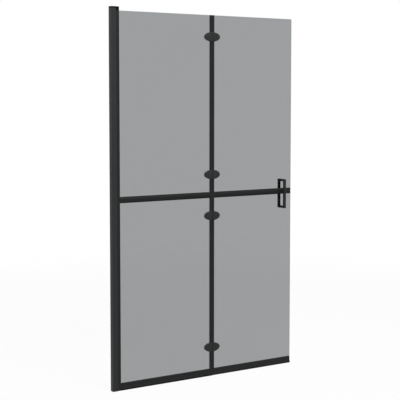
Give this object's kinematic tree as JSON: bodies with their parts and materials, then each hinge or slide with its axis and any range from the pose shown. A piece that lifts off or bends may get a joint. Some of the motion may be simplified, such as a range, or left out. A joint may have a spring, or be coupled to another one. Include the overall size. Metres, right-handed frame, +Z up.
{
  "type": "walk-in shower screen",
  "caption": "Framed walk-in shower screen of grey glass: a panel held in a wall channel and a hinged panel with a loop handle that folds flat behind it.",
  "frame": {"origin": "floor level, half way between the wall face and the free edge, in the middle of the glass", "axes": "+X from the wall to the free edge, -Y the side with the hinge covers, +Z up"},
  "size_m": [1.1, 0.065, 1.9],
  "materials": {
    "frame": "black powder coat, satin",
    "glass": "grey tinted safety glass",
    "hinge": "black satin paint on cast metal",
    "handle": "black satin paint",
    "cap": "moulded black plastic",
    "rubber": "matt black extrusion",
    "steel": "blackened steel"
  },
  "bodies": {
    "wall_side": {"wall_channel_lower": "frame", "wall_channel_upper": "frame", "clamp_screws": "steel", "post_top_cap": "cap"},
    "fixed_panel": {"fixed_bottom_gaskets": "rubber", "fixed_bottom_rail": "frame", "fixed_edge_gaskets": "rubber", "fixed_edge_strip": "frame", "fixed_floor_seal": "rubber", "fixed_glass_lower": "glass", "fixed_glass_upper": "glass", "fixed_hinge_pads": "cap", "fixed_hinge_screws": "steel", "fixed_lower_rail": "frame", "fixed_rail_gaskets": "rubber", "fixed_rail_rivets": "steel", "fixed_upper_rail": "frame", "fold_seal": "rubber", "glazing_profile_lower": "frame", "glazing_profile_upper": "frame", "hinge_1_fixed_cover": "hinge", "hinge_1_fixed_leaf": "hinge", "hinge_2_fixed_cover": "hinge", "hinge_2_fixed_leaf": "hinge", "hinge_3_fixed_cover": "hinge", "hinge_3_fixed_leaf": "hinge", "hinge_4_fixed_cover": "hinge", "hinge_4_fixed_leaf": "hinge", "hinge_pins": "steel", "profile_top_cap": "cap", "wall_gaskets_lower": "rubber", "wall_gaskets_upper": "rubber"},
    "folding_panel": {"bottom_rail_end_cap": "cap", "folding_bottom_gaskets": "rubber", "folding_bottom_rail": "frame", "folding_edge_gaskets": "rubber", "folding_edge_strip": "frame", "folding_floor_seal": "rubber", "folding_glass_lower": "glass", "folding_glass_upper": "glass", "folding_hinge_pads": "cap", "folding_hinge_screws": "steel", "folding_lower_rail": "frame", "folding_rail_gaskets": "rubber", "folding_rail_rivets": "steel", "folding_upper_rail": "frame", "handle_front_grip": "handle", "handle_pads": "cap", "handle_rear_grip": "handle", "handle_studs": "steel", "hinge_1_folding_cover": "hinge", "hinge_1_folding_leaf": "hinge", "hinge_2_folding_cover": "hinge", "hinge_2_folding_leaf": "hinge", "hinge_3_folding_cover": "hinge", "hinge_3_folding_leaf": "hinge", "hinge_4_folding_cover": "hinge", "hinge_4_folding_leaf": "hinge", "mid_rail_end_cap": "cap"}
  },
  "joints": [
    {"name": "width_adjust", "type": "slide", "parent": "wall_side", "child": "fixed_panel", "axis": [1, 0, 0], "range_m": [-0.003, 0.009]},
    {"name": "panel_fold", "type": "hinge", "parent": "fixed_panel", "child": "folding_panel", "pos_m": [0.037, 0.014, 0], "axis": [0, 0, 1], "range_deg": [0, 175]}
  ]
}
